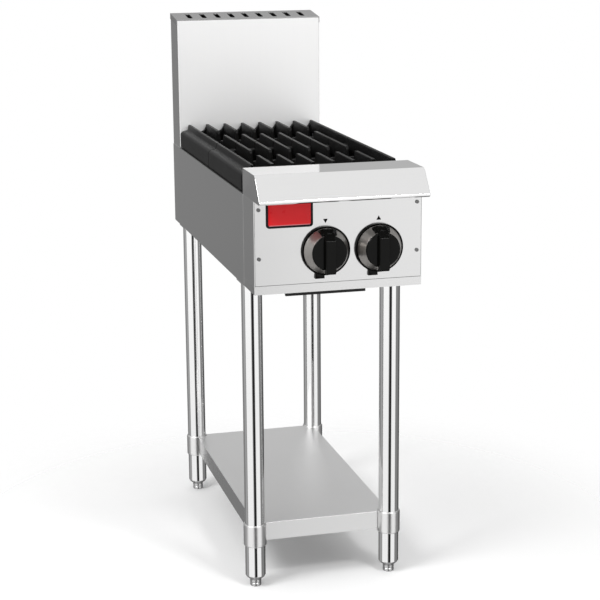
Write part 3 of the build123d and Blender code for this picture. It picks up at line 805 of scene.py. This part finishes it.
def skirt(who, x):
    """Spun cone of thin sheet, wide at the panel."""
    wall = rounded([(41.0, -5.6), (31.0, -24.0), (29.8, -24.0), (39.6, -5.6)],
                   [0.5, 0.9, 0.3, 0.3], 5)
    ring(Skin(), spun(wall, x, knob_height, 128)).make(
        f"{who}_skirt", f"{who}_knob", "knob_metal",
        spun_skirt(f"knob_skirt_{who}", x * mm, under_z + knob_height * mm),
        [f"{who}_knob_skirt"])


print("bezel", 2 * bezel_radius, "mm across")

# %% Grip, and both knobs
bar_half = 9.1


def grip(who, x):
    """Spun disc and hub, the bar carried across them and the wing swept about the axis."""
    disc = rounded([(4.2, -24.1), (31.2, -24.1), (31.2, -27.0), (30.0, -28.5), (4.2, -28.5)],
                   [0.2, 0.5, 1.2, 1.2, 0.2], 5)
    hub = rounded([(4.1, -24.5), (9, -24.5), (9, -8), (4.1, -8)], 0.3, 3)
    bar_side = rounded([(d, knob_height + r) for d, r in
                        [(-26.5, -30.5), (-26, -36.5), (-34.5, -36.5), (-38, -33), (-38, 23),
                         (-15.1, 40.3), (-8.3, 40.3), (-24.6, 32.0), (-26.5, 29.5)]],
                       [0.5, 1.5, 1.6, 1.6, 1.6, 2.0, 1.2, 3.0, 0.5], 5)
    piece = ring(Skin(), spun(disc, x, knob_height, 96))
    ring(piece, spun(hub, x, knob_height, 40))
    piece.add(carried(bar_side, x - bar_half, x + bar_half, 1.0))
    wing = rounded([(41.2, -10.3), (34.2, -23.9), (31.5, -23.9), (38.9, -10.3)], 0.8, 3)
    a = np.radians(np.linspace(-24.0, 24.0, 13))[:, None]
    piece.add(placed(x + wing[None, :, 0] * np.sin(a), wing[None, :, 1] + 0 * a,
                     knob_height + wing[None, :, 0] * np.cos(a)))
    piece.make(f"{who}_grip", f"{who}_knob", "knob_plastic", knob_black, [f"{who}_knob_grip"])


for who in ("front", "rear"):
    low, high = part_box(f"{who}_knob_skirt")
    middle = (low.x + high.x) / 2 / mm
    for make in (bezel, skirt, grip):
        make(who, middle)

# %% [markdown]
# ## The badge
# The maker's plate is a red enamelled tablet in a black rim. The rim is a small half-round
# section carried round a rounded rectangle; the tablet swells a little towards its middle
# so that it catches the light. It carries no lettering.

# %% Rim and tablet of the badge
badge_low, badge_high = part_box("badge_frame")
badge_x = (badge_low.x + badge_high.x) / 2 / mm
badge_h = ((badge_low.z + badge_high.z) / 2 - under_z) / mm
reach_x, reach_h = (badge_high.x - badge_low.x) / 2 / mm, (badge_high.z - badge_low.z) / 2 / mm


def tablet_outline(inset, radius):
    """The badge's rounded rectangle, drawn in all round by inset."""
    w, h = reach_x - inset, reach_h - inset
    return rounded([(-w, -h), (w, -h), (w, h), (-w, h)], radius, 8, 0.8)


def layered(insets, depths, least):
    """Loops of that rectangle, each with its own inset and its own depth off the panel;
    corners start at 6 mm and keep a least radius."""
    loops = np.stack([tablet_outline(i, max(6 - i, least)) for i in insets])
    depth = np.broadcast_to(np.array(depths)[:, None], loops.shape[:2])
    return placed(badge_x + loops[..., 0], depth, badge_h + loops[..., 1])


ring(Skin(), layered([0.0, 0.05, 0.6, 1.6, 2.9, 3.7, 3.78],
                     [0.0, -1.4, -2.25, -2.4, -2.2, -1.5, -0.05], 3.7)).make(
    "badge_rim", "unit", "badge_black", badge_black, ["badge_frame"])
Skin().add(layered([3.92, 3.92, 4.2, 5.0, 8.0, 13.0, 18.0],
                   [-0.8, -1.2, -1.55, -1.85, -2.0, -2.1, -2.15], 3.0)).make(
    "badge_tablet", "unit", "badge_red", badge_red, ["badge_plate"])

# %% [markdown]
# ## Legs, collars and feet
# The stand is four lengths of 38 mm tube. Each has a welded plate at the top, a collar
# that holds the shelf, a pressed-in end with a rounded shoulder, and a screw foot. All of
# them are outlines turned about the leg's own axis; the foot's thread is a wave that climbs
# one pitch for each turn.

# %% Tubes, collars, ends and feet
def leg_axis(node):
    """The middle of a node in plan."""
    low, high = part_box(node)
    return (low.x + high.x) / 2 / mm, ((low.y + high.y) / 2 - face_y) / mm


def threaded(x, depth, low, high, radius, pitch=2.0, turns=24):
    """Thread: radius - 0.45 (0.5 + 0.5 cos(2 pi height / pitch - a))."""
    a = np.linspace(0, 2 * pi, turns, endpoint=False)[None, :]
    h = np.linspace(low, high, int((high - low) / pitch * 8) + 1)[:, None]
    r = radius - 0.45 * (0.5 + 0.5 * np.cos(2 * pi * h / pitch - a))
    return placed(x + r * np.sin(a), depth + r * np.cos(a), h + 0 * a)


floor_h = -under_z / mm
tube_radius, tube_bore, tube_end, plate = 19.05, 17.45, floor_h + 22.05, 3
ends, collars = Skin(), Skin()
for place in ("front_left", "front_right", "back_left", "back_right"):
    x, depth = leg_axis(f"{place}_foot")
    tube = rounded([(tube_radius, tube_end), (tube_radius, -plate), (tube_bore, -plate),
                    (tube_bore, tube_end)], [0.4, 0.2, 0.2, 0.2], 3)
    leg = ring(Skin(), upright(tube, x, depth, 96))
    x0, x1 = sorted((np.sign(x) * 96, np.sign(x) * 152))
    leg.add(block((x0, x1), (depth - 30, depth + 30), (-plate, -0.05), 0.8))
    leg.make(f"{place}_tube", "unit", "leg_tube", leg_polish, [f"{place}_leg"])
    collar = rounded([(19.12, -506.9), (20.6, -506.9), (21.5, -505.4), (21.5, -466.2),
                      (20.4, -464.1), (19.12, -464.1)], [0.3, 0.8, 1.2, 1.2, 0.8, 0.3], 4)
    ring(collars, upright(collar, x, depth, 72))
    shoulder = rounded([(6.0, floor_h + 14.5), (12.0, floor_h + 14.5), (17.2, floor_h + 18.9),
                        (18.95, floor_h + 21.9), (17.4, floor_h + 22.2), (17.4, floor_h + 51.9),
                        (6.0, floor_h + 51.9)], [0.4, 1.6, 4.0, 0.3, 0.2, 0.4, 0.3], 5)
    ring(ends, upright(shoulder, x, depth, 72))
    pad = rounded([(0.01, floor_h + 0.0), (9.3, floor_h + 0.0), (10.5, floor_h + 1.4),
                   (10.5, floor_h + 5.4), (9.9, floor_h + 6.2), (9.9, floor_h + 7.2),
                   (10.5, floor_h + 8.0), (10.5, floor_h + 12.6), (9.0, floor_h + 14.0),
                   (0.01, floor_h + 14.0)], [0, 0.4, 0.5, 0.4, 0.2, 0.2, 0.4, 0.5, 0.5, 0], 3)
    foot = ring(Skin(), upright(pad, x, depth, 48))
    foot.add(threaded(x, depth, floor_h + 13.2, floor_h + 62, 5.9))
    foot.make(f"{place}_screw_foot", f"foot_{place}", "insert_steel", foot_steel,
              [f"{place}_foot"], 40)
collars.make("shelf_collars", "unit", "socket_alloy", collar_polish, ["shelf_sockets"])
ends.make("leg_shoulders", "unit", "insert_steel", foot_steel, ["leg_end_inserts"])

# %% [markdown]
# ## The undershelf
# The shelf is a tray turned upside down: a plate whose corners are cut round the collars,
# with four straight flanges folded down. The plate's plan is drawn with a quarter circle
# at each corner and carried upward; each flange is a thin block under its edge.

# %% The undershelf
low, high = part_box("undershelf")
shelf_low, shelf_high = (low.z - under_z) / mm, (high.z - under_z) / mm
near, far = (low.y - face_y) / mm, (high.y - face_y) / mm
reach, cut, shelf_sheet = high.x / mm, 21.7, 1.2
a = np.radians(np.linspace(0, 90, 9))
bite = cut * np.column_stack([np.cos(a), np.sin(a)])
corners = [(-reach, near, 1, 1), (-reach, far, 1, -1), (reach, far, -1, -1), (reach, near, -1, 1)]
plan = np.concatenate([(np.array([x, d]) + bite * [sx, sd])[::-1 if sx * sd < 0 else 1]
                       for x, d, sx, sd in corners])
pan = Skin().add(carried(plan, shelf_high - shelf_sheet, shelf_high, 0.35, "z"))
flange = (shelf_low, shelf_high - shelf_sheet + 0.1)
for d in (near, far - shelf_sheet):
    pan.add(block((cut - reach, reach - cut), (d, d + shelf_sheet), flange, 0.25))
for x in (-reach, reach - shelf_sheet):
    pan.add(block((x, x + shelf_sheet), (near + cut, far - cut), flange, 0.25))
# The flanges take the darker across-brushed copy: painted shade on the shelf's upright faces.
second_finish(pan.make("shelf_pan", "unit", "stainless", shelf_steel, ["undershelf"], 12),
              sheet_across, lambda n, c: np.abs(n[:, 2]) < 0.5)

# %% [markdown]
# ## A part whose outline is already right
# The tray handle has a cut-out that the CAD model already holds. A copy of the CAD mesh is
# joined up and its flat faces made whole again, and a narrow bevel then gives every edge
# the small radius that catches light.

# %% The softened tray handle
def softened(node, name, material, width):
    """Copy of a CAD node with its doubles merged, flat areas made whole and a bevel of
    width metres on edges that turn by more than 30 degrees."""
    mesh = nodes[node].data.copy()
    mesh.materials.clear()
    work = bmesh.new()
    work.from_mesh(mesh)
    bmesh.ops.remove_doubles(work, verts=work.verts, dist=2e-6)
    bmesh.ops.dissolve_limit(work, angle_limit=radians(0.5), verts=work.verts, edges=work.edges)
    bmesh.ops.recalc_face_normals(work, faces=work.faces)
    for face in work.faces:
        face.smooth = True
    for edge in work.edges:
        edge.smooth = True
    work.to_mesh(mesh)
    work.free()
    piece = register(name, mesh, nodes[node]["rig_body"], material, [node])
    bevel = piece.modifiers.new("eased_edges", "BEVEL")
    bevel.width, bevel.segments, bevel.limit_method = width, 2, "ANGLE"
    bevel.angle_limit = radians(30)
    bevel.use_clamp_overlap = True
    return piece


softened("drip_tray_handle", "tray_handle", tray_black, 0.0005)

# %% [markdown]
# ## Finishes for the pieces kept from the CAD model
# The parts inside the body, the pan and the small printed marks have the right shape as
# they come, so only their finish is set. A table pairs each finish with its nodes.

# %% Paint the kept nodes
kept = {
    sheet_across: ["base_pan", "burner_brackets", "jet_bracket"],
    sheet_deep_painted_shade: ["drip_tray", "drip_tray_runners"],
    # the flue cap's darker stainless is painted shade
    flue_steel_painted_shade: ["flue_cap"],
    pan_enamel: ["hob_pan"],
    burner_iron: ["front_burner_body", "rear_burner_body"],
    cap_brass: ["front_burner_cap", "rear_burner_cap"],
    pilot_steel: ["front_pilot", "rear_pilot"],
    valve_brass: ["front_valve", "rear_valve", "front_jet", "rear_jet"],
    tube_copper: ["front_supply_tube", "rear_supply_tube"],
    pipe_steel: ["manifold", "inlet_pipe"],
    spindle_steel: ["front_spindle", "rear_spindle"],
    mark_black: ["burner_marks"],
    screw_steel: ["panel_screws", "leg_bolts"],
}
for material, names in kept.items():
    for name in names:
        slots = nodes[name].data.materials
        slots.clear()
        slots.append(material)
print("kept nodes painted", sum(len(v) for v in kept.values()))

# %% [markdown]
# ## The studio
# Bright metal shows what stands around it, so the room matters more than the lamps: a
# white room in front, a greyer one behind and a narrow dark strip beside the camera, which
# gives the polished tubes their dark line. The room is written as sums of smooth steps
# over the compass direction. The camera itself sees plain white behind the stand.

# %% The room
def room():
    """Brightness from the direction's compass angle, 0 at the operator's side and growing
    towards +X in degrees, and from its height."""
    world = bpy.data.worlds.new("studio_room")
    bpy.context.scene.world = world
    world.use_nodes = True
    recipe = Recipe(world.node_tree)
    direction = recipe.wire("ShaderNodeTexCoord", output="Generated")
    parts = recipe.add("ShaderNodeSeparateXYZ", None, {0: direction})
    x, y, z = (Wire(recipe, parts.outputs[n]) for n in range(3))
    compass = x.math("ARCTAN2", x, -1.0 * y) * (180 / pi)

    def panel(low, high, soft):
        """1 between low and high degrees, easing to 0 over soft degrees."""
        rise = recipe.ease(compass, low - soft, low)
        return rise * recipe.ease(compass, high, high + soft, 1.0, 0.0)

    side = (0.27 + 0.90 * panel(-90, -27, 7) + 0.90 * panel(12, 55, 5)
            + 0.18 * panel(-124, -106, 8) - 0.17 * panel(112, 140, 14)
            - 0.25 * panel(-14, 3, 5))
    above = recipe.ease(z, -0.02, 0.16)
    back_glow = 0.24 * above * (1 - panel(-110, 110, 20))
    low = recipe.ease(z, -0.34, -0.14, 0.84, 1.0)
    ceiling = recipe.ease(z, 0.45, 0.75)
    strength = (side * low + back_glow) * (1 - ceiling) + 0.98 * ceiling
    white = (1, 1, 1, 1)
    lit = recipe.wire("ShaderNodeBackground", None, {"Color": white, "Strength": strength})
    plain = recipe.wire("ShaderNodeBackground", None, {"Color": white, "Strength": 1.0})
    seen = recipe.wire("ShaderNodeLightPath", output="Is Camera Ray")
    recipe.add("ShaderNodeOutputWorld", None, {"Surface": recipe.wire(
        "ShaderNodeMixShader", None, {0: seen, 1: lit, 2: plain})})


room()
print("room", bpy.context.scene.world.name, "ready")

# %% [markdown]
# ## Lamps
# Two square lamps in front of the stand and above it add soft shadows. They are weak,
# because the room already gives most of the light.

# %% The lamps
def softbox(name, place, target, size, power):
    """Square area lamp at place that looks at target, size metres wide, power in watts."""
    lamp = bpy.data.lights.new(name, "AREA")
    lamp.shape, lamp.size, lamp.energy = "SQUARE", size, power
    box_light = bpy.data.objects.new(name, lamp)
    bpy.context.scene.collection.objects.link(box_light)
    away = np.array(place) - np.array(target)
    away /= np.linalg.norm(away)
    across = np.cross([0, 0, 1], away)
    across /= np.linalg.norm(across)
    turn = Matrix(np.column_stack([across, np.cross(away, across), away]).tolist()).to_4x4()
    box_light.matrix_world = Matrix.Translation(place) @ turn
    print(f"{name}: {power} W, {size} m wide")


body_middle = (0, 0, 0.75)
softbox("key_softbox", (-1.7, -0.9, 2.3), body_middle, 0.9, 30)
softbox("front_softbox", (0.7, -2.0, 2.5), body_middle, 0.45, 20)

# %% [markdown]
# ## The floor
# The floor is a pale sheet of paper that keeps a soft shadow under the feet. It thins out
# to nothing before its edge, so no line shows where it ends, and only the camera meets it.

# %% The floor
floor_half, clear_from, clear_at = 0.9, 0.30, 0.88
floor_mesh = bpy.data.meshes.new("studio_floor")
floor_mesh.from_pydata([(-floor_half, -floor_half, 0), (floor_half, -floor_half, 0),
                        (floor_half, floor_half, 0), (-floor_half, floor_half, 0)],
                       [], [(0, 1, 2, 3)])
studio_floor = bpy.data.objects.new("studio_floor", floor_mesh)
bpy.context.scene.collection.objects.link(studio_floor)


def paper(recipe):
    """Pale paper whose alpha eases from 1 to 0 with the distance from the middle. Only the
    camera meets it: the tubes then mirror the room all the way down."""
    fibre = recipe.noise(300.0, 3.0)
    place = recipe.wire("ShaderNodeTexCoord", output="Object")
    apart = recipe.wire("ShaderNodeVectorMath", {"operation": "LENGTH"}, {0: place}, "Value")
    seen = recipe.wire("ShaderNodeLightPath", output="Is Camera Ray")
    return {"Base Color": recipe.blend(fibre, grey(0.88), grey(0.92)),
            "Roughness": 0.8 + 0.1 * fibre, "bump": (fibre, 0.00001),
            "Alpha": recipe.ease(apart, clear_from, clear_at, 1.0, 0.0) * seen}


floor_mesh.materials.append(finish("studio_paper", {"Specular IOR Level": 0.2}, paper))
print("floor", 2 * floor_half, "m square")

# %% [markdown]
# ## End

# %% End of the scene
print("scene script done")
